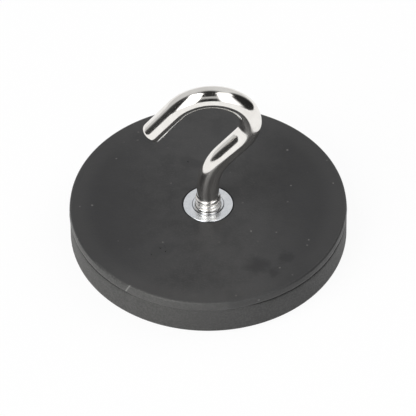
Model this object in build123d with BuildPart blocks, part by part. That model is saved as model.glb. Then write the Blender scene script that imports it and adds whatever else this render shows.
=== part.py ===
from build123d import *
from math import cos, radians, sin
import os

# Rubber-coated pot magnet with a screw-in hook. All sizes are in millimetres.
#
# The origin is the centre of the magnetic face. +Z runs up through the bush and
# the hook's stem. The hook lies in the XZ plane and opens towards -X.

os.makedirs("parts", exist_ok=True)

# Rubber jacket, moulded around everything but the bush's face
jacket_dia = 43.0
jacket_height = 6.2
floor_skin = 0.9            # rubber under the magnets: the pulling face
side_skin = 1.4             # rubber around the steel plate
top_edge_bevel = 0.2
foot_edge_bevel = 0.4
parting_drop = 1.45         # mould parting line, below the top face
parting_groove = 0.16       # depth of the V where the two mould halves met
lower_inset = 0.25          # the lower mould half is smaller by this much, in radius

# Steel plate that ties the magnets together
plate_thickness = 1.5

# Magnets, in a ring under the plate
magnet_count = 6
magnet_dia = 11.5
magnet_height = 2.5
magnet_margin = 0.85        # from the magnets to the plate's edge

# Bush: its body passes up through the plate, its collar takes the pull below it
bush_dia = 7.7
collar_dia = 11.0
collar_height = 2.1
bore_floor = 0.7            # steel left under the blind M4 bore
countersink_dia = 4.2
countersink_angle = 90

# Hook: one length of wire. Its M4 thread is rolled, so the plain wire is the mean
# of crest and root, and the bore is drawn at that same mean size.
wire_dia = 3.45
thread_play = 0.05          # radial play between the hook and the bore
thread_end_chamfer = 0.5
hook_height = 25.0          # from the bush's face to the top of the crown
neck_radius = 10.5          # bend that leads out of the stem
neck_angle = 40
leg_length = 4.4            # straight between the two bends
shoulder_radius = 5.5       # tighter start of the big bend
shoulder_angle = 95
crown_radius = 6.7          # rest of the big bend
crown_angle = 87
tip_length = 6.25           # straight to the hook's cut end
tip_edge_radius = 0.5

# Levels and radii that follow from the sizes above
face_level = jacket_height
parting_level = face_level - parting_drop
plate_level = floor_skin + magnet_height
roof_level = plate_level + plate_thickness
collar_level = plate_level - collar_height
bore_bottom_level = collar_level + bore_floor
upper_radius = jacket_dia / 2
lower_radius = upper_radius - lower_inset
plate_radius = upper_radius - side_skin
magnet_ring_radius = plate_radius - magnet_margin - magnet_dia / 2
wire_radius = wire_dia / 2
bore_radius = wire_radius + thread_play

# Height from the end of the straight stem to the crown's highest point, along
# the middle of the wire. The wire leans by these angles from the vertical.
neck_lean = radians(neck_angle)
shoulder_lean = radians(neck_angle - shoulder_angle)
bend_rise = (
    neck_radius * sin(neck_lean)
    + leg_length * cos(neck_lean)
    + shoulder_radius * (sin(neck_lean) - sin(shoulder_lean))
    + crown_radius * (sin(shoulder_lean) + 1)
)
stem_end_level = face_level + hook_height - wire_radius - bend_rise

# Rubber jacket. Its side is two bands, one from each half of the mould, with a
# fine V between them. The pockets inside are the pieces it was moulded around.
with BuildPart() as rubber_jacket:
    with BuildSketch(Plane.XZ):
        with BuildLine():
            Polyline(
                (0, 0),
                (lower_radius, 0),
                (lower_radius, parting_level - parting_groove),
                (lower_radius - parting_groove, parting_level),
                (upper_radius, parting_level + parting_groove),
                (upper_radius, face_level),
                (0, face_level),
                close=True,
            )
        make_face()
    revolve(axis=Axis.Z)
    outer_rings = rubber_jacket.edges().filter_by(GeomType.CIRCLE).group_by(Axis.Z)
    chamfer(outer_rings[-1], top_edge_bevel)
    chamfer(outer_rings[0], foot_edge_bevel)
    with BuildSketch(Plane.XY.offset(plate_level)):
        Circle(plate_radius)
    extrude(amount=plate_thickness, mode=Mode.SUBTRACT)
    with BuildSketch(Plane.XY.offset(floor_skin)):
        with PolarLocations(magnet_ring_radius, magnet_count):
            Circle(magnet_dia / 2)
    extrude(amount=magnet_height, mode=Mode.SUBTRACT)
    with BuildSketch(Plane.XY.offset(collar_level)):
        Circle(collar_dia / 2)
    extrude(amount=collar_height, mode=Mode.SUBTRACT)
    with BuildSketch(Plane.XY.offset(roof_level)):
        Circle(bush_dia / 2)
    extrude(amount=face_level - roof_level, mode=Mode.SUBTRACT)

# Steel plate: a stamped disc with a hole for the bush
with BuildPart() as steel_plate:
    with BuildSketch(Plane.XY.offset(plate_level)):
        Circle(plate_radius)
        Circle(bush_dia / 2, mode=Mode.SUBTRACT)
    extrude(amount=plate_thickness)

# Threaded bush: a turned collar and body, with a blind countersunk bore
with BuildPart() as threaded_bush:
    with BuildSketch(Plane.XY.offset(collar_level)):
        Circle(collar_dia / 2)
    extrude(amount=collar_height)
    with BuildSketch(Plane.XY.offset(plate_level)):
        Circle(bush_dia / 2)
    extrude(amount=face_level - plate_level)
    with Locations((0, 0, face_level)):
        CounterSinkHole(
            radius=bore_radius,
            counter_sink_radius=countersink_dia / 2,
            depth=face_level - bore_bottom_level,
            counter_sink_angle=countersink_angle,
        )

# Hook: a round wire swept along one line of straights and tangent bends. It is
# screwed down until its end meets the bottom of the bore.
with BuildPart() as hook:
    with BuildLine(Plane.XZ) as wire_line:
        stem = Line((0, bore_bottom_level), (0, stem_end_level))
        neck = JernArc(stem @ 1, stem % 1, neck_radius, -neck_angle)
        leg = Line(neck @ 1, neck @ 1 + (neck % 1) * leg_length)
        shoulder = JernArc(leg @ 1, leg % 1, shoulder_radius, shoulder_angle)
        crown = JernArc(shoulder @ 1, shoulder % 1, crown_radius, crown_angle)
        tip = Line(crown @ 1, crown @ 1 + (crown % 1) * tip_length)
    with BuildSketch(Plane(origin=stem @ 0, z_dir=stem % 0)):
        Circle(wire_radius)
    sweep()
    end_rings = hook.edges().filter_by(GeomType.CIRCLE)
    fillet(end_rings.sort_by_distance(tip @ 1)[0], tip_edge_radius)
    chamfer(end_rings.sort_by_distance(stem @ 0)[0], thread_end_chamfer)

pieces = {
    "rubber_jacket": rubber_jacket,
    "steel_plate": steel_plate,
    "threaded_bush": threaded_bush,
    "hook": hook,
}

# Magnets: one piece for each place in the ring
for number in range(1, magnet_count + 1):
    with BuildPart() as magnet:
        with BuildSketch(Plane.XY.offset(floor_skin)):
            with PolarLocations(magnet_ring_radius, 1, start_angle=number * 360 / magnet_count):
                Circle(magnet_dia / 2)
        extrude(amount=magnet_height)
    pieces[f"magnet_{number}"] = magnet

for name, piece in pieces.items():
    piece.part.label = name
    export_step(piece.part, f"parts/{name}.step")
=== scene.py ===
from math import ceil, cos, degrees, pi, radians, sin

import bmesh
import bpy
from mathutils import Matrix, Vector


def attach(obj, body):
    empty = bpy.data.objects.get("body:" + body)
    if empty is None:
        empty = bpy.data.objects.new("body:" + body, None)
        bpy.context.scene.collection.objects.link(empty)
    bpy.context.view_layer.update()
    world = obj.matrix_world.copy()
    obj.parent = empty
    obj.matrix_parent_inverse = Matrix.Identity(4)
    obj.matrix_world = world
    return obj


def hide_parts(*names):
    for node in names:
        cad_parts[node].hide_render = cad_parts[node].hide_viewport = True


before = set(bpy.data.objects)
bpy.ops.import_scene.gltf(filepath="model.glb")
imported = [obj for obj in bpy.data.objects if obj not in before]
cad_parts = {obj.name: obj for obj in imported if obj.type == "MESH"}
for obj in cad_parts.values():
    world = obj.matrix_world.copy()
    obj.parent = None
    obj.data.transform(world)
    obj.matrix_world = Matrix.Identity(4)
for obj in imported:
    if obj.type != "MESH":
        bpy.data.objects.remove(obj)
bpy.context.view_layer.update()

# ---------------------------------------------------------------- sizes
# A pot magnet in a moulded rubber jacket, with a zinc-plated bush flush in its
# face and a nickel-plated wire hook screwed into the bush. The origin is the
# middle of the pulling face, +Z goes up the stem and the hook opens towards -X.

mm = 0.001

face_level = 6.2 * mm
jacket_radius = 21.5 * mm
lower_radius = 21.40 * mm          # the lower mould half is a little smaller
lower_shift = 0.04 * mm            # and stands this far towards +X
draft = 0.10 * mm                  # how much the upper half narrows to its top
top_rounding = 0.30 * mm
foot_rounding = 0.42 * mm
parting_level = 4.65 * mm
seam_rise = 0.18 * mm              # the parting line stands higher on the +X side
seam_lip = 0.24 * mm               # the levels of its lips are counted in this
seam_depth = 0.40 * mm
closed_from, closed_to = 228, 296  # degrees round the jacket where it is closed
slit_width = 0.14 * mm             # open slit between the rubber and the bush
slit_depth = 0.35 * mm
slit_rounding = 0.07 * mm

plate_radius = 20.1 * mm
plate_level = 3.4 * mm
roof_level = 4.9 * mm
magnet_ring_radius = 13.5 * mm
magnet_radius = 5.75 * mm
magnet_level = 0.9 * mm
magnet_count = 6
pocket_overlap = 0.6 * mm          # how far their cutters reach into the plate's pocket

bush_radius = 3.85 * mm
bush_rounding = 0.10 * mm
collar_radius = 5.5 * mm
collar_level = 1.3 * mm
collar_bevel = 0.2 * mm
bore_bottom = 2.0 * mm
countersink_radius = 2.04 * mm
lip_radius = 2.38 * mm             # low lip that stands round the bore
lip_height = 0.14 * mm

wire_radius = 1.725 * mm
foot_bevel = 0.5 * mm
neck_radius, neck_angle = 10.5 * mm, 40
leg_length = 4.4 * mm
shoulder_radius, shoulder_angle = 5.5 * mm, 95
crown_radius, crown_angle = 6.7 * mm, 87
tip_length = 6.25 * mm
tip_rounding = 0.5 * mm
crown_top = face_level + 24.998 * mm

thread_pitch = 0.7 * mm            # M4, right-handed, rolled
thread_crest = 1.96 * mm
thread_root = 1.62 * mm
bore_radius = thread_root - 0.02 * mm   # of the bush, before it is tapped
crest_edge, root_edge = 0.45, 0.95    # ends of a flank, in half pitches from the crest
thread_top = face_level + 2.05 * mm
thread_runout = 0.45 * mm
groove_top = face_level + 1.90 * mm   # the grooves run out lower than the crests
groove_runout = 0.5 * mm
thread_start = -115                # degrees round the stem where a crest stands
thread_start_level = face_level + 0.29 * mm
thread_clearance = 0.03 * mm

thread_sizes = {
    "Pitch": thread_pitch, "Crest Radius": thread_crest, "Root Radius": thread_root,
    "Crest Level": thread_start_level, "Crest Turn": thread_start / 360,
}

# How finely the pieces are drawn
jacket_sides, bush_sides, wire_sides, pocket_sides = 384, 128, 96, 96
steps_per_pitch = 22
ring_gap = 0.001 * mm              # between the rings that close the wire's flat ends
weld_distance = 0.0004 * mm


# ---------------------------------------------------------------- node bench
class Wire:
    """An output of a node. Arithmetic on it puts Math nodes after it."""

    def __init__(self, bench, socket):
        self.bench, self.socket = bench, socket

    def maths(self, operation, *values):
        """A Math node on these values."""
        inputs = {place: value for place, value in enumerate(values)}
        return self.bench.add("ShaderNodeMath", {"operation": operation}, inputs)

    def __add__(self, other):
        return self.maths("ADD", self, other)

    def __radd__(self, other):
        return self.maths("ADD", other, self)

    def __sub__(self, other):
        return self.maths("SUBTRACT", self, other)

    def __rsub__(self, other):
        return self.maths("SUBTRACT", other, self)

    def __mul__(self, other):
        return self.maths("MULTIPLY", self, other)

    def __rmul__(self, other):
        return self.maths("MULTIPLY", other, self)

    def __truediv__(self, other):
        return self.maths("DIVIDE", self, other)

    def __rtruediv__(self, other):
        return self.maths("DIVIDE", other, self)

    def __mod__(self, other):
        return self.maths("FLOORED_MODULO", self, other)

    def __pow__(self, other):
        return self.maths("POWER", self, other)

    def __abs__(self):
        return self.maths("ABSOLUTE", self)

    def __lt__(self, other):
        return self.maths("LESS_THAN", self, other)

    def __gt__(self, other):
        return self.maths("GREATER_THAN", self, other)

    def least(self, other):
        return self.maths("MINIMUM", self, other)

    def most(self, other):
        return self.maths("MAXIMUM", self, other)

    def angle_with(self, x):
        """Angle round the Z axis, from +X, of a place that has this for its y."""
        return self.maths("ARCTAN2", self, x)

    def ramp(self, start, end):
        """0 at start and 1 at end, eased between them."""
        settings = {"interpolation_type": "SMOOTHSTEP", "clamp": True}
        inputs = {"Value": self, "From Min": start, "From Max": end, "To Min": 0.0, "To Max": 1.0}
        return self.bench.add("ShaderNodeMapRange", settings, inputs)

    def between(self, start, full, fading, end):
        """1 from full to fading, eased down to 0 at start and at end."""
        return self.ramp(start, full) * self.ramp(end, fading)

    def parts(self):
        """X, Y and Z of a vector."""
        split = self.bench.add("ShaderNodeSeparateXYZ", {}, {0: self})
        return [split.beside(axis) for axis in "XYZ"]

    def beside(self, name):
        """Another output of the same node."""
        return Wire(self.bench, self.socket.node.outputs[name])


class Bench:
    """Adds nodes to one tree."""

    def __init__(self, tree):
        self.tree = tree

    def add(self, kind, settings=None, inputs=None, output=0):
        """A node of a kind: its settings first, then values or wires for its inputs.
        Of the settings, "stops" fills a colour ramp and "kept" names a captured value."""
        node = self.tree.nodes.new(kind)
        for name, value in (settings or {}).items():
            if name == "stops":
                ramp = node.color_ramp
                while len(ramp.elements) < len(value):
                    ramp.elements.new(1.0)
                for element, (place, colour) in zip(ramp.elements, value):
                    element.position, element.color = place, (*colour, 1.0)
            elif name == "kept":
                node.capture_items.new(*value)
            else:
                setattr(node, name, value)
        for name, value in (inputs or {}).items():
            if isinstance(value, Wire):
                self.tree.links.new(value.socket, node.inputs[name])
            elif value is not None:
                node.inputs[name].default_value = value
        return Wire(self, node.outputs[output]) if len(node.outputs) else node

    def vector(self, x, y, z):
        """A vector from its parts."""
        return self.add("ShaderNodeCombineXYZ", {}, {"X": x, "Y": y, "Z": z})

    def mix(self, amount, first, second):
        """Colours first and second, mixed."""
        inputs = {0: amount, 6: first, 7: second}
        return self.add("ShaderNodeMix", {"data_type": "RGBA"}, inputs, 2)

    def laid_over(self, colour, *layers):
        """A colour with others laid over it in turn. Layers: amount, colour."""
        for amount, tint in layers:
            colour = self.mix(amount, colour, tint)
        return colour

    def noise(self, place, size, detail, roughness, stretch=None):
        """Even noise from 0 to 1 whose lumps are about this size."""
        if stretch:
            inputs = {0: place, 1: stretch}
            place = self.add("ShaderNodeVectorMath", {"operation": "MULTIPLY"}, inputs)
        inputs = {"Vector": place, "Scale": 1 / size, "Detail": detail, "Roughness": roughness}
        return self.add("ShaderNodeTexNoise", {}, inputs)


def cleared_bench(owner):
    """A bench on the emptied node tree of a material or a world."""
    owner.use_nodes = True
    owner.node_tree.nodes.clear()
    return Bench(owner.node_tree)


# ---------------------------------------------------------------- mesh helpers
def new_object(name, data):
    """An object at the origin that holds this mesh, curve, lamp or lens."""
    made = bpy.data.objects.new(name, data)
    bpy.context.scene.collection.objects.link(made)
    return made


def remove_piece(piece):
    """Takes an object away together with its mesh or curve."""
    data = piece.data
    bpy.data.objects.remove(piece)
    shelf = bpy.data.meshes if isinstance(data, bpy.types.Mesh) else bpy.data.curves
    shelf.remove(data)


def finished_mesh(name, bm):
    """A mesh with the faces of a bmesh, which is used up."""
    mesh = bpy.data.meshes.new(name)
    bm.to_mesh(mesh)
    bm.free()
    return mesh


def arc(centre, radius, start, end, steps):
    """Points (r, z) of an arc, from angle start to end in degrees."""
    turns = [radians(start + (end - start) * k / steps) for k in range(steps + 1)]
    return [(centre[0] + radius * cos(a), centre[1] + radius * sin(a)) for a in turns]


def run(first, last, count):
    """Points (r, z) that divide a straight into count parts, without its first point."""
    return [
        tuple(a + (b - a) * k / count for a, b in zip(first, last))
        for k in range(1, count + 1)
    ]


def turned(name, profile, segments, shape=None):
    """A closed turned piece. The profile runs outwards underneath and back in above.
    A shape moves each of its points: from (r, z, angle) to (r, z)."""
    bm = bmesh.new()
    rings = []
    for r, z in profile:
        if r == 0:
            rings.append([bm.verts.new((0, 0, z))] * segments)
            continue
        ring = []
        for k in range(segments):
            angle = 2 * pi * k / segments
            out, up = shape(r, z, angle) if shape else (r, z)
            ring.append(bm.verts.new((out * cos(angle), out * sin(angle), up)))
        rings.append(ring)
    for low, high in zip(rings, rings[1:]):
        for k in range(segments):
            n = (k + 1) % segments
            corners = list(dict.fromkeys([low[k], low[n], high[n], high[k]]))
            if len(corners) > 2:
                bm.faces.new(corners)
    bmesh.ops.recalc_face_normals(bm, faces=bm.faces)
    return new_object(name, finished_mesh(name, bm))


def smooth(piece, angle):
    """Soft shading, with edges sharper than angle kept."""
    piece.data.shade_smooth()
    piece.data.set_sharp_from_angle(angle=radians(angle))
    return piece


def plain_mesh(source, name):
    """What an object's modifiers make of it, as a plain mesh object. The source goes."""
    bpy.context.view_layer.update()
    shown = source.evaluated_get(bpy.context.evaluated_depsgraph_get())
    mesh = bpy.data.meshes.new_from_object(shown)
    source.modifiers.clear()
    remove_piece(source)
    mesh.name = name
    return new_object(name, mesh)


# ---------------------------------------------------------------- geometry trees
def shape_tree(name, sizes):
    """An empty Geometry Nodes tree with a named input for each size."""
    tree = bpy.data.node_groups.new(name, "GeometryNodeTree")
    tree.interface.new_socket("Geometry", in_out="INPUT", socket_type="NodeSocketGeometry")
    tree.interface.new_socket("Finish", in_out="INPUT", socket_type="NodeSocketMaterial")
    for size, value in sizes.items():
        kind = "NodeSocketInt" if isinstance(value, int) else "NodeSocketFloat"
        tree.interface.new_socket(size, in_out="INPUT", socket_type=kind)
    tree.interface.new_socket("Geometry", in_out="OUTPUT", socket_type="NodeSocketGeometry")
    bench = Bench(tree)
    entry = bench.add("NodeGroupInput")
    return bench, {name: entry.beside(name) for name in ("Geometry", "Finish", *sizes)}


def end_tree(bench, geometry, finish):
    """Closes a tree: instances made real and the finish set."""
    real = bench.add("GeometryNodeRealizeInstances", {}, {0: geometry})
    done = bench.add("GeometryNodeSetMaterial", {}, {"Geometry": real, "Material": finish})
    bench.add("NodeGroupOutput", {}, {0: done})
    return bench.tree


def run_tree(source, tree, finish, sizes, name):
    """Puts the tree on an object with its sizes, and returns the plain mesh it makes."""
    modifier = source.modifiers.new(tree.name, "NODES")
    modifier.node_group = tree
    values = {"Finish": finish, **sizes}
    for item in tree.interface.items_tree:
        if item.in_out == "INPUT" and item.name in values:
            modifier[item.identifier] = values[item.name]
    return plain_mesh(source, name)


def thread_radius(place, given):
    """Radius of the thread at a place near the axis, along a right-hand helix."""
    x, y, z = place.parts()
    turns = y.angle_with(x) / (2 * pi)
    climbed = (z - given["Crest Level"]) / given["Pitch"]
    phase = (climbed - turns + given["Crest Turn"] + 0.5) % 1.0
    from_crest = abs(phase - 0.5) * 2
    height = given["Crest Radius"] - given["Root Radius"]
    return given["Root Radius"] + height * from_crest.ramp(root_edge, crest_edge)


def spread_out(bench, geometry, place, chosen, spread):
    """Moves the chosen points off the axis, to this many times their distance from it."""
    x, y, z = place.parts()
    moved = bench.vector(x * spread, y * spread, z)
    inputs = {"Geometry": geometry, "Selection": chosen, "Position": moved}
    return bench.add("GeometryNodeSetPosition", {}, inputs)


def threaded_wire_tree(sizes):
    """Round wire swept along a line, with a thread rolled into its foot."""
    bench, given = shape_tree("threaded_wire", sizes)
    along = bench.add("GeometryNodeSplineParameter", output="Length")
    line = bench.add(
        "GeometryNodeCaptureAttribute", {"kept": ("FLOAT", "Along")},
        {"Geometry": given["Geometry"], "Along": along},
    )
    circle = bench.add(
        "GeometryNodeCurvePrimitiveCircle", {"mode": "RADIUS"},
        {"Resolution": given["Sides"], "Radius": given["Wire Radius"]},
    )
    section = bench.add(
        "GeometryNodeCaptureAttribute", {"kept": ("VECTOR", "Around")},
        {"Geometry": circle, "Around": bench.add("GeometryNodeInputPosition")},
    )
    wire = bench.add(
        "GeometryNodeCurveToMesh", {},
        {"Curve": line, "Profile Curve": section, "Fill Caps": False,
         "Scale": bench.add("GeometryNodeInputRadius")},
    )

    # The place on the wire before it was bent, which its finish goes by
    across, up, _ = section.beside("Around").parts()
    wire = bench.add(
        "GeometryNodeStoreNamedAttribute", {"data_type": "FLOAT_VECTOR", "domain": "POINT"},
        {"Geometry": wire, "Name": "wire_place",
         "Value": bench.vector(across, up, line.beside("Along"))},
    )
    weld = {"Geometry": wire, "Distance": weld_distance}
    wire = bench.add("GeometryNodeMergeByDistance", {}, weld)

    # Crests stand out of the wire's round and grooves cut into it
    place = bench.add("GeometryNodeInputPosition")
    x, _, z = place.parts()
    top, runout = given["Thread Top"], given["Run-out"]
    low_top, low_runout = given["Groove Top"], given["Groove Run-out"]
    change = thread_radius(place, given) / given["Wire Radius"] - 1.0
    raised = change.most(0.0) * z.ramp(top + runout, top - runout)
    cut_in = change.least(0.0) * z.ramp(low_top + low_runout, low_top - low_runout)
    at_foot = (z < top + runout * 1.5) * (abs(x) < given["Wire Radius"] * 1.2)
    wire = spread_out(bench, wire, place, at_foot, 1.0 + raised + cut_in)
    return end_tree(bench, wire, given["Finish"])


def tapped_bore_tree(sizes):
    """A turned piece whose bore follows the thread, down to the bore's floor."""
    bench, given = shape_tree("tapped_bore", sizes)
    place = bench.add("GeometryNodeInputPosition")
    x, y, z = place.parts()
    floor = given["Bore Floor"]
    reach = (x * x + y * y) ** 0.5
    tapped = thread_radius(place, given) + given["Play"]
    eased_in = z.ramp(floor, floor + given["Pitch"] * 0.5)
    spread = reach.most(tapped * eased_in) / reach
    off_floor = z > floor + 0.01 * mm
    on_wall = (reach < given["Countersink Radius"] * 0.999) * (reach > given["Root Radius"] * 0.9)
    bush = spread_out(bench, given["Geometry"], place, off_floor * on_wall, spread)
    return end_tree(bench, bush, given["Finish"])


# ---------------------------------------------------------------- finishes
# What is the same all over a piece
metal = {"Metallic": 1.0}
rubber = {"IOR": 1.5, "Specular IOR Level": 0.5}


def finish_named(name):
    """A new material: itself, its bench and the place on the piece."""
    material = bpy.data.materials.new(name)
    bench = cleared_bench(material)
    return material, bench, bench.add("ShaderNodeTexCoord", output="Object")


def coat_with(bench, even, colour, roughness, relief):
    """The finish itself: even values on the shader's own sockets, wires for what varies."""
    varying = {"Base Color": colour, "Roughness": roughness, "Normal": relief}
    shader = bench.add("ShaderNodeBsdfPrincipled", {}, {**even, **varying})
    bench.add("ShaderNodeOutputMaterial", {}, {"Surface": shader})


def bumped(bench, height, depth, over=None):
    """Normals for a relief of this height (0 to 1) and depth, over another relief."""
    inputs = {"Height": height, "Distance": depth, "Strength": 1.0, "Normal": over}
    return bench.add("ShaderNodeBump", {}, inputs)


def flecks(bench, place, spacing, size):
    """Small specks of many strengths, spacing apart at most."""
    inputs = {"Vector": place, "Scale": 1 / spacing}
    cells = bench.add("ShaderNodeTexVoronoi", {"feature": "F1"}, inputs)
    strength = cells.beside("Color").parts()[0].ramp(0, 1)
    return cells.ramp(size / spacing, size / spacing * 0.4) * strength


def black_rubber():
    """Matt moulded rubber: fine grain, dull handling marks, pale dust in specks, with painted sheen
    on the top's rim and the wall, and painted shade in the parting line's groove and towards the
    top's left and right.
    """
    material, bench, place = finish_named("black_rubber")
    x, y, z = place.parts()
    reach = (x * x + y * y) ** 0.5
    turn = y.angle_with(x) * (180 / pi)    # 0 is the right, -90 the near side, -180 the left

    # Where things are: the wall, its upper band, the worn strip and the parting line
    on_side = reach.ramp(jacket_radius - 0.60 * mm, jacket_radius - 0.20 * mm)
    near_top = z.ramp(face_level - 0.32 * mm, face_level - 0.10 * mm)
    on_side *= 1.0 - near_top * turn.ramp(-138, -154)
    on_band = on_side * z.ramp(parting_level, parting_level + 0.05 * mm)
    worn_strip = on_side * z.ramp(parting_level, parting_level + 0.35 * mm)
    worn_strip *= turn.between(-128.2, -127.4, -86.2, -83.9)
    nick_lean = (face_level - 0.6 * mm - z) * (1.2 / mm)
    nick = on_band * abs(turn + 128.5 + nick_lean).ramp(0.5, 0.15)
    closed = turn.between(-137, -127, -79, -64)
    seam = z - parting_level - x.ramp(0, jacket_radius / 4) * seam_rise
    in_groove = seam.between(-0.36 * mm, -0.26 * mm, 0.08 * mm, 0.14 * mm) * (1.0 - closed)

    cloud = bench.noise(place, 9 * mm, 3.0, 0.55)
    mottle = bench.noise(place, 1.6 * mm, 4.0, 0.6)
    grain = bench.noise(place, 0.30 * mm, 3.0, 0.6)
    marks = bench.noise(place, 5.5 * mm, 2.0, 0.4).ramp(0.60, 0.72)
    dust = flecks(bench, place, 2.2 * mm, 0.24 * mm) * grain.ramp(0.38, 0.56)

    # Where it is darker: painted shade towards its left and right, where the top takes less sheen,
    # and three smudges (x, y, size)
    painted_shade_and_smudges = abs(x).ramp(4 * mm, 17 * mm) * 0.8
    for across, along, size in ((6.9, -13.7, 2.7), (11.3, -12.3, 2.2), (9.4, -15.2, 1.4)):
        away = ((x - across * mm) ** 2 + (y - along * mm) ** 2) ** 0.5
        away += (mottle - 0.5) * (3 * mm)
        painted_shade_and_smudges = painted_shade_and_smudges.most(away.ramp(size * 1.15 * mm, size * 0.1 * mm) * 1.1)

    # Painted light: how much paler the top's rim is (painted sheen, strongest to the near left) and
    # the wall (partly its own paler grain and dust, partly painted light that changes round it),
    # and how dark the painted shade in the parting line's groove is
    rim = 0.26 + turn.ramp(-74, -92) * turn.ramp(-150, -125) * 0.20
    rim -= turn.between(-80, -68, -48, -36) * 0.17
    wall = 0.28 + turn.ramp(-84, -118) * turn.ramp(-180, -166) * 0.68
    wall -= on_band * turn.ramp(-90, -82) * 0.25
    wall += turn.ramp(-52, -38) * (1.0 - on_band) * 0.16
    patchy = 0.5 + (grain.ramp(0.35, 0.65) - 0.5) * (0.6 + turn.ramp(-100, -70))
    # Painted shade in the parting line's groove, darkest on the left and the right
    painted_groove_shade = 0.04 + turn.ramp(-127, -150) * 0.80 + turn.ramp(-52, -30) * 0.60

    dark, less_dark = (0.0170, 0.0170, 0.0175, 1), (0.0320, 0.0320, 0.0325, 1)
    pale = (0.052, 0.051, 0.050, 1)
    wall_tint = bench.mix(patchy, (0.030, 0.030, 0.029, 1), (0.082, 0.081, 0.077, 1))
    colour = bench.laid_over(
        bench.mix(cloud.ramp(0.3, 0.7), dark, less_dark),
        (mottle.ramp(0.35, 0.7) * 0.3, (0.046, 0.045, 0.044, 1)),
        (grain.ramp(0.45, 0.75) * 0.35, pale),
        # dull marks, painted shade towards the top's left and right, and the smudges
        ((marks * 0.5).most(painted_shade_and_smudges), (0.0135, 0.0135, 0.0145, 1)),
        # painted sheen on the top's rim, then the wall's paler tint with painted light round it
        (rim * reach.ramp(jacket_radius * 0.80, jacket_radius * 0.94), pale),
        (on_side * wall, wall_tint),
        (worn_strip * 0.19, (0.11, 0.11, 0.105, 1)),
        (nick * 0.9, (0.20, 0.20, 0.19, 1)),
        # painted shade in the parting line's groove
        (in_groove * painted_groove_shade, (0.006, 0.006, 0.006, 1)),
        (dust * 0.5, (0.26, 0.25, 0.24, 1)),
    )
    roughness = 0.38 + (mottle - 0.5) * 0.16 - marks * 0.08
    roughness += on_side * 0.17 - on_band * 0.12 + in_groove * 0.45
    relief = bumped(bench, grain * (0.6 + on_side), 0.025 * mm)
    relief = bumped(bench, mottle, 0.02 * mm, relief)
    relief = bumped(bench, dust, 0.02 * mm, relief)
    coat_with(bench, rubber, colour, roughness, relief)
    return material


def zinc_plate():
    """Bright zinc on a turned face: fine rings, a faint blue cast and light grey blooms, with
    painted shade in the corners at the lip's foot and the bore's mouth.
    """
    material, bench, place = finish_named("zinc_plated_steel")
    x, y, z = place.parts()
    reach = (x * x + y * y) ** 0.5
    rings = bench.noise(bench.vector(reach, x * 0.02, y * 0.02), 0.09 * mm, 2.0, 0.6)
    bloom = bench.noise(place, 1.1 * mm, 4.0, 0.65)
    speckle = bench.noise(place, 0.12 * mm, 2.0, 0.5)
    # Painted shade in the corners at the foot of the lip and at the mouth of the bore
    painted_corner_shade = abs(reach - lip_radius - lip_height * 0.4).ramp(0.11 * mm, 0.04 * mm)
    painted_corner_shade = painted_corner_shade.most(abs(reach - countersink_radius + 0.04 * mm).ramp(0.09 * mm, 0.04 * mm))
    painted_corner_shade *= z.ramp(face_level - 0.4 * mm, face_level - 0.2 * mm)
    colour = bench.laid_over(
        bench.mix(bloom.ramp(0.3, 0.72), (0.82, 0.85, 0.89, 1), (0.91, 0.93, 0.95, 1)),
        (speckle.ramp(0.55, 0.8) * 0.3, (0.74, 0.77, 0.81, 1)),
        # painted shade in the corners round the lip and the bore
        (painted_corner_shade * 0.75, (0.20, 0.20, 0.21, 1)),
    )
    relief = bumped(bench, rings, 0.0012 * mm)
    relief = bumped(bench, speckle, 0.0004 * mm, relief)
    coat_with(bench, metal, colour, 0.19 + bloom * 0.06 + rings * 0.04, relief)
    return material


def nickel_wire():
    """Bright nickel on drawn wire: faint lines along the wire and a slightly warm cast."""
    material, bench, place = finish_named("nickel_plated_wire")
    unbent = bench.add("ShaderNodeAttribute", {"attribute_name": "wire_place"}, {}, "Vector")
    drawn = bench.noise(unbent, 0.10 * mm, 3.0, 0.6, (1, 1, 0.035))
    cast = bench.noise(unbent, 2.2 * mm, 3.0, 0.6)
    pits = bench.noise(unbent, 0.16 * mm, 2.0, 0.5)
    colour = bench.laid_over(
        bench.mix(cast.ramp(0.3, 0.7), (0.90, 0.88, 0.845, 1), (0.845, 0.82, 0.785, 1)),
        (pits.ramp(0.68, 0.85) * 0.3, (0.62, 0.58, 0.54, 1)),
    )
    in_thread = place.parts()[2].ramp(thread_top + 0.5 * mm, thread_top - 0.3 * mm)
    roughness = 0.080 + drawn * 0.03 + cast * 0.03 + in_thread * 0.155
    coat_with(bench, metal, colour, roughness, bumped(bench, drawn, 0.0008 * mm))
    return material


def stamped_steel():
    """Bare cold-rolled plate: grey, with rolling lines and light rust bloom."""
    material, bench, place = finish_named("bare_steel")
    rolled = bench.noise(place, 0.15 * mm, 3.0, 0.6, (0.05, 1, 1))
    bloom = bench.noise(place, 3.0 * mm, 4.0, 0.6)
    colour = bench.mix(bloom.ramp(0.35, 0.75), (0.46, 0.46, 0.47, 1), (0.36, 0.34, 0.33, 1))
    coat_with(bench, metal, colour, 0.34 + bloom * 0.16, bumped(bench, rolled, 0.003 * mm))
    return material


def nickel_on_magnet():
    """Satin nickel over a sintered magnet: an even, faintly grainy skin."""
    material, bench, place = finish_named("nickel_plated_magnet")
    grain = bench.noise(place, 0.14 * mm, 3.0, 0.6)
    cast = bench.noise(place, 2.6 * mm, 3.0, 0.5)
    colour = bench.mix(cast.ramp(0.3, 0.7), (0.74, 0.73, 0.71, 1), (0.66, 0.65, 0.62, 1))
    coat_with(bench, metal, colour, 0.24 + grain * 0.12, bumped(bench, grain, 0.003 * mm))
    return material


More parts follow.
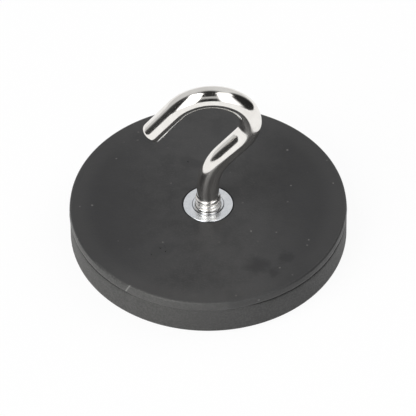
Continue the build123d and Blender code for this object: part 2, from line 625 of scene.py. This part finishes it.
# ---------------------------------------------------------------- pieces
def wire_line():
    """The hook's middle line from its foot to its cut end: (x, z, share of the wire's radius)."""
    neck_lean, shoulder_lean = radians(neck_angle), radians(neck_angle - shoulder_angle)
    bend_rise = (
        neck_radius * sin(neck_lean) + leg_length * cos(neck_lean)
        + shoulder_radius * (sin(neck_lean) - sin(shoulder_lean))
        + crown_radius * (sin(shoulder_lean) + 1)
    )
    stem_end = crown_top - wire_radius - bend_rise

    # The flat end and bevel of the foot, then the threaded stem in fine steps
    points = [
        (0, bore_bottom + k * ring_gap, share) for k, share in enumerate((0.0, 0.25, 0.5, 0.66))
    ]
    points += [
        (0, bore_bottom + foot_bevel * k / 6, 1 - (1 - k / 6) * foot_bevel / wire_radius)
        for k in range(1, 7)
    ]
    fine_start = bore_bottom + foot_bevel
    fine_end = thread_top + thread_runout * 1.6
    steps = ceil((fine_end - fine_start) / (thread_pitch / steps_per_pitch))
    points += [
        (0, fine_start + (fine_end - fine_start) * k / steps, 1.0) for k in range(1, steps + 1)
    ]

    # Straights and bends: length, degrees of turn towards +X, spacing of the rings
    sections = [
        (stem_end - fine_end, 0, 0.5 * mm),
        (neck_radius * radians(neck_angle), neck_angle, 0.22 * mm),
        (leg_length, 0, 0.5 * mm),
        (shoulder_radius * radians(shoulder_angle), -shoulder_angle, 0.16 * mm),
        (crown_radius * radians(crown_angle), -crown_angle, 0.18 * mm),
        (tip_length - tip_rounding, 0, 0.5 * mm),
    ]
    x, z, lean = 0.0, fine_end, 0.0
    for length, turn, spacing in sections:
        steps = ceil(length / spacing)
        chord = length / steps
        if turn:
            half = abs(radians(turn)) / steps / 2
            chord *= sin(half) / half
        for k in range(steps):
            middle = lean + radians(turn) * (k + 0.5) / steps
            x, z = x + chord * sin(middle), z + chord * cos(middle)
            points.append((x, z, 1.0))
        lean += radians(turn)

    # The rounded edge of the cut end, and the flat end itself
    for a in range(15, 91, 15):
        forward = tip_rounding * sin(radians(a))
        share = 1 - (1 - cos(radians(a))) * tip_rounding / wire_radius
        points.append((x + forward * sin(lean), z + forward * cos(lean), share))
    x, z, flat = points[-1]
    for k, share in enumerate((0.75, 0.5, 0.25, 0.0), 1):
        forward = k * ring_gap
        points.append((x + forward * sin(lean), z + forward * cos(lean), flat * share))
    return points


def make_hook(finish):
    """Wire hook with its rolled thread."""
    line = bpy.data.curves.new("hook_line", "CURVE")
    line.dimensions = "3D"
    spline = line.splines.new("POLY")
    points = wire_line()
    spline.points.add(len(points) - 1)
    for point, (x, z, share) in zip(spline.points, points):
        point.co, point.radius = (x, 0, z, 1), share
    sizes = {
        **thread_sizes, "Wire Radius": wire_radius, "Sides": wire_sides,
        "Thread Top": thread_top, "Run-out": thread_runout,
        "Groove Top": groove_top, "Groove Run-out": groove_runout,
    }
    source = new_object("hook_line", line)
    return smooth(run_tree(source, threaded_wire_tree(sizes), finish, sizes, "wire_hook"), 50)


def make_bush(finish):
    """Turned bush: collar, body, countersink and a tapped blind bore."""
    lip_level = face_level + lip_height
    mouth_level = face_level + lip_height * 0.6
    lip_foot = lip_radius + lip_height * 0.75
    lip_rounding = lip_height * 0.25
    face_edge = bush_radius - bush_rounding
    under_ring = 3.0 * mm
    profile = [
        (0, collar_level), (under_ring, collar_level), (collar_radius - collar_bevel, collar_level),
        (collar_radius, collar_level + collar_bevel), (collar_radius, plate_level),
        (bush_radius, plate_level), (bush_radius, face_level - bush_rounding),
    ]
    profile += arc((face_edge, face_level - bush_rounding), bush_rounding, 0, 90, 5)[1:]
    profile += run((face_edge, face_level), (lip_foot, face_level), 6)
    profile += arc((lip_radius, lip_level - lip_rounding), lip_rounding, 30, 90, 4)
    profile += run(profile[-1], (countersink_radius, mouth_level), 4)
    bore_top = mouth_level - (countersink_radius - bore_radius)
    profile += run(profile[-1], (bore_radius, bore_top), 16)
    profile += run(profile[-1], (bore_radius, bore_bottom), 90)
    profile += [(0, bore_bottom)]
    blank = turned("bush_blank", profile, bush_sides)
    sizes = {
        **thread_sizes, "Play": thread_clearance, "Bore Floor": bore_bottom,
        "Countersink Radius": countersink_radius,
    }
    return smooth(run_tree(blank, tapped_bore_tree(sizes), finish, sizes, "turned_bush"), 35)


def groove_depth(angle):
    """How open the parting line is round the jacket, from 0 to 1. It closes within
    6 degrees at one end and 15 at the other, to an eighth of its depth."""
    turn = degrees(angle)
    closed = max(0.0, min(1.0, (turn - closed_from) / 6, (closed_to - turn) / 15))
    return 1.0 - 0.88 * closed * closed * (3 - 2 * closed)


def moulded(r, z, angle):
    """A point of the jacket as it left the mould. The parting line closes where the two
    halves met well, and its lips waver a little. The pockets stay as they are."""
    if r <= plate_radius + 0.5 * mm:
        return r, z
    if abs(z - parting_level) < seam_lip * 0.5:
        r = lower_radius - seam_depth * groove_depth(angle)
    elif abs(z - parting_level) < seam_lip * 1.5:
        if z < parting_level:
            r += (lower_radius - r) * (1 - groove_depth(angle))
        waver = sin(23 * angle) + sin(41 * angle + 1) + sin(67 * angle + 2)
        r, z = r - 0.008 * mm * (3 + waver), z + 0.006 * mm * waver
    if abs(z - parting_level) < seam_lip * 1.5:
        z += max(0.0, min(1.0, cos(angle) * 4)) * seam_rise
    if z < parting_level:
        r += lower_shift * cos(angle)
    return r, z


def make_jacket(finish):
    """Moulded rubber jacket, with the pockets of the pieces it was moulded around."""
    foot_edge = lower_radius - foot_rounding
    profile = [(0, 0)] + run((0, 0), (foot_edge, 0), 5)
    profile += arc((foot_edge, foot_rounding), foot_rounding, -90, 0, 8)[1:]
    band_end = (lower_radius, parting_level - seam_lip * 1.9)
    profile += run((lower_radius, foot_rounding), band_end, 5)

    # Lower lip, groove and upper lip of the parting line
    seam = [
        (lower_radius - 0.02 * mm, -1.4), (lower_radius - 0.09 * mm, -0.6),
        (lower_radius, -0.4), (lower_radius, 0.3),
        (jacket_radius - 0.05 * mm, 0.6), (jacket_radius, 1.2),
    ]
    profile += [(r, parting_level + seam_lip * height) for r, height in seam]

    # Upper band, top face and the slit round the bush
    top_radius = jacket_radius - draft
    top_edge, edge_level = top_radius - top_rounding, face_level - top_rounding
    band_start = (jacket_radius, parting_level + seam_lip * 2)
    profile += run(band_start, (top_radius, edge_level), 3)
    profile += arc((top_edge, edge_level), top_rounding, 0, 90, 7)[1:]
    slit_radius = bush_radius + slit_width
    slit_edge = slit_radius + slit_rounding
    profile += run((top_edge, face_level), (slit_edge, face_level), 6)
    profile += arc((slit_edge, face_level - slit_rounding), slit_rounding, 90, 180, 5)[1:]
    slit_floor = face_level - slit_depth - slit_width
    profile += [(slit_radius, face_level - slit_depth), (bush_radius, slit_floor)]

    # Pockets of the bush, the plate and the collar
    profile += [(bush_radius, roof_level)]
    profile += run((bush_radius, roof_level), (plate_radius, roof_level), 3)
    profile += [(plate_radius, plate_level), (collar_radius, plate_level)]
    profile += [(collar_radius, collar_level), (0, collar_level)]
    jacket = turned("moulded_jacket", profile, jacket_sides, moulded)

    pocket_top = plate_level + pocket_overlap
    pocket = [
        (0, magnet_level), (magnet_radius, magnet_level),
        (magnet_radius, pocket_top), (0, pocket_top),
    ]
    cutters = []
    for number in range(magnet_count):
        turn = 2 * pi * (number + 1) / magnet_count
        cutter = turned(f"magnet_pocket_{number}", pocket, pocket_sides)
        shift = (magnet_ring_radius * cos(turn), magnet_ring_radius * sin(turn), 0)
        cutter.data.transform(Matrix.Translation(shift))
        cutters.append(cutter)
        cut = jacket.modifiers.new(cutter.name, "BOOLEAN")
        cut.operation, cut.solver, cut.object = "DIFFERENCE", "EXACT", cutter
    jacket = plain_mesh(jacket, "moulded_jacket")
    for cutter in cutters:
        remove_piece(cutter)
    jacket.data.materials.clear()
    jacket.data.materials.append(finish)
    return smooth(jacket, 40)


# ---------------------------------------------------------------- studio
view_turn, view_rise = radians(-3.0), radians(45.7)
to_right = Vector((cos(view_turn), sin(view_turn), 0))
ahead = Vector((-sin(view_turn), cos(view_turn), 0))
hook_middle = Vector((0, 0, 22 * mm))

camera_distance = 1.2
camera_tilt = radians(-0.41)
aim_left, aim_down = 0.023 * mm, 0.634 * mm    # of the middle of the magnet's face
lens_length, sensor_width = 671.5, 36.0        # in millimetres, as the camera takes them
lamp_distance = 1.0
floor_radius = 6.0
floor_to_eye, floor_in_mirror = 0.92, 0.5      # how far the floor goes to white
room_light = 0.35


def toward(azimuth, elevation):
    """Direction from the magnet: azimuth 0 is beyond it and 90 to its right."""
    a, e = radians(azimuth), radians(elevation)
    return (ahead * cos(a) + to_right * sin(a)) * cos(e) + Vector((0, 0, sin(e)))


def ray_kinds(bench):
    """Whether a ray comes from the camera, and whether it came off or through a shiny piece."""
    paths = bench.add("ShaderNodeLightPath")
    shiny = paths.beside("Is Glossy Ray").most(paths.beside("Is Transmission Ray"))
    return paths.beside("Is Camera Ray"), shiny


def card_cloth(name, levels, soft, lift):
    """Glow of a card: stops of grey from its foot to its head, and more by lift to its right.
    It fades out over these shares of it from its left, foot, right and head."""
    material = bpy.data.materials.new(name)
    bench = cleared_bench(material)
    across, up, _ = bench.add("ShaderNodeUVMap", {"uv_map": "card"}).parts()
    stops = [(place, (grey, grey, grey)) for place, grey in levels]
    grey = bench.add("ShaderNodeValToRGB", {"stops": stops}, {0: up}) + across * lift
    cloth = bench.add("ShaderNodeEmission", {}, {"Color": grey, "Strength": 1.0})
    for edge, share in zip((across, up, 1 - across, 1 - up), soft):
        if share:
            clear = bench.add("ShaderNodeBsdfTransparent")
            inputs = {0: edge.ramp(0.0, share), 1: clear, 2: cloth}
            cloth = bench.add("ShaderNodeMixShader", {}, inputs)
    bench.add("ShaderNodeOutputMaterial", {}, {"Surface": cloth})
    return material


def stage_card(name, distance, rows, levels, soft=(0, 0, 0, 0), lift=0.0):
    """A card bent round the magnet and seen only in reflections. Rows: elevation, azimuths."""
    cells = 24
    bm = bmesh.new()
    uv = bm.loops.layers.uv.new("card")
    grid = []
    for j in range(cells + 1):
        e = rows[0][0] + (rows[-1][0] - rows[0][0]) * j / cells
        for (e0, *first), (e1, *last) in zip(rows, rows[1:]):
            if e <= e1 + 1e-6:
                break
        part = (e - e0) / (e1 - e0)
        left, right = (a + (b - a) * part for a, b in zip(first, last))
        turns = [left + (right - left) * k / cells for k in range(cells + 1)]
        grid.append([bm.verts.new(hook_middle + toward(a, e) * distance) for a in turns])
    for j in range(cells):
        for k in range(cells):
            corners = ((k, j), (k + 1, j), (k + 1, j + 1), (k, j + 1))
            face = bm.faces.new([grid[row][column] for column, row in corners])
            for loop, (column, row) in zip(face.loops, corners):
                loop[uv].uv = (column / cells, row / cells)
    mesh = finished_mesh(name, bm)
    mesh.materials.append(card_cloth(name + "_cloth", levels, soft, lift))
    card = new_object(name, mesh)
    card.visible_camera = card.visible_shadow = card.visible_diffuse = False


def soft_lamp(name, azimuth, elevation, width, height, level):
    """The light of a softbox. Level is how bright its cloth is."""
    lamp = bpy.data.lights.new(name, "AREA")
    lamp.shape = "RECTANGLE"
    lamp.size, lamp.size_y = width, height
    lamp.energy = level * pi * width * height
    box = new_object(name, lamp)
    place = toward(azimuth, elevation)
    box.location = place * lamp_distance
    box.rotation_mode = "QUATERNION"
    box.rotation_quaternion = place.to_track_quat("Z", "Y")
    box.visible_camera = box.visible_glossy = False


def white_floor():
    """A pale floor under the magnet, which goes to white and keeps a soft shadow."""
    bm = bmesh.new()
    bmesh.ops.create_circle(bm, cap_ends=True, segments=96, radius=floor_radius)
    mesh = finished_mesh("floor", bm)
    material = bpy.data.materials.new("pale_floor")
    bench = cleared_bench(material)
    to_eye, in_mirror = ray_kinds(bench)
    whitened = to_eye * floor_to_eye + in_mirror * floor_in_mirror
    paint = bench.add("ShaderNodeBsdfDiffuse", {}, {"Color": (0.9, 0.9, 0.9, 1)})
    white = bench.add("ShaderNodeEmission", {}, {"Color": (1, 1, 1, 1), "Strength": 1.0})
    both = bench.add("ShaderNodeMixShader", {}, {0: whitened, 1: paint, 2: white})
    bench.add("ShaderNodeOutputMaterial", {}, {"Surface": both})
    mesh.materials.append(material)
    floor = new_object("floor", mesh)


def light_room():
    """The world: white to the eye, dimmer as a light."""
    world = bpy.data.worlds.new("studio")
    bpy.context.scene.world = world
    bench = cleared_bench(world)
    to_eye, in_mirror = ray_kinds(bench)
    inputs = {"Color": (1, 1, 1, 1), "Strength": room_light}
    dim = bench.add("ShaderNodeBackground", {}, inputs)
    white = bench.add("ShaderNodeBackground", {}, {**inputs, "Strength": 1.0})
    both = bench.add("ShaderNodeMixShader", {}, {0: to_eye.most(in_mirror), 1: dim, 2: white})
    bench.add("ShaderNodeOutputWorld", {}, {"Surface": both})


def set_camera():
    """Long lens, looking down on the magnet."""
    lens = bpy.data.cameras.new("camera")
    lens.lens, lens.sensor_width = lens_length, sensor_width
    lens.clip_start, lens.clip_end = 0.05, 50
    camera = new_object("camera", lens)
    forward = ahead * cos(view_rise) - Vector((0, 0, sin(view_rise)))
    down = -(ahead * sin(view_rise) + Vector((0, 0, cos(view_rise))))
    aim = Vector((0, 0, face_level)) - to_right * aim_left + down * aim_down
    camera.location = aim - forward * camera_distance
    camera.rotation_mode = "QUATERNION"
    tilt = Matrix.Rotation(camera_tilt, 3, -forward)
    basis = Matrix((to_right, -down, -forward)).transposed()
    camera.rotation_quaternion = (tilt @ basis).to_quaternion()
    bpy.context.scene.camera = camera


# ---------------------------------------------------------------- making it
set_camera()
light_room()
white_floor()
soft_lamp("left_lamp", -127, 40, 0.75, 1.45, 2.95)
soft_lamp("right_lamp", 65, 48, 0.75, 1.30, 1.4)

# Cards: name, distance, outline, stops of grey, soft edges, lift
stage_card(
    "backdrop", 3.4, [(0, -88, 60), (80, -88, 60)],
    [(0.0, 0.62), (0.56, 0.62), (0.75, 0.52), (0.81, 0.29), (0.88, 0.06), (1.0, 0.02)],
    lift=0.10,
)
stage_card(
    "left_softbox", 3.0,
    [(-3, -172, -138), (45, -165, -112), (56, -160, -70), (80, -136, -66)],
    [(0.0, 3.0), (1.0, 3.0)], (0.06, 0.06, 0.06, 0.06),
)
stage_card(
    "right_softbox", 3.0,
    [(-3, 132, 166), (40, 110, 160), (48, 70, 158), (78, 80, 140)],
    [(0.0, 1.8), (1.0, 1.8)], (0.06, 0.06, 0.06, 0.06),
)
stage_card(
    "left_card", 0.28,
    [(-7, -149, -78), (5, -148, -76), (25, -139, -76),
     (42, -126, -68), (50, -112, -60), (58, -98, -55)],
    [(0.0, 0.05), (0.15, 0.02), (0.7, 0.02), (1.0, 0.12)], (0.12, 0, 0.28, 0.12), 0.04,
)
stage_card(
    "right_card", 0.22,
    [(-12, 38, 150), (0, 38, 150), (15, 37, 145), (30, 38, 137), (42, 43, 123), (52, 52, 108)],
    [(0.0, 0.02), (1.0, 0.02)], (0.26, 0, 0.22, 0.14),
)
stage_card(
    "near_card", 2.4,
    [(-1, 165, 190), (27, 161, 192), (45, 154, 197),
     (60, 147, 205), (72, 122, 222), (88, 95, 250)],
    [(0.0, 0.02), (0.30, 0.022), (0.34, 0.26), (0.43, 0.42),
     (0.54, 0.55), (0.60, 0.10), (0.64, 0.03), (1.0, 0.025)],
    (0.08, 0.04, 0.08, 0),
)
stage_card(
    "top_card", 3.2, [(74, -180, 180), (89.9, -180, 180)], [(0.0, 0.03), (1.0, 0.03)],
)

jacket = make_jacket(black_rubber())
bush = make_bush(zinc_plate())
hook = make_hook(nickel_wire())
for piece, node, slot in (
    (jacket, "rubber_jacket", "black_rubber"),
    (bush, "threaded_bush", "zinc_plated_steel"),
    (hook, "hook", "nickel_plated_wire"),
):
    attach(piece, "root")
    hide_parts(node)

steel, satin = stamped_steel(), nickel_on_magnet()
for name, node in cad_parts.items():
    if name == "steel_plate" or name.startswith("magnet"):
        node.data.materials.clear()
        node.data.materials.append(steel if name == "steel_plate" else satin)

bpy.context.scene.view_settings.view_transform = "Standard"
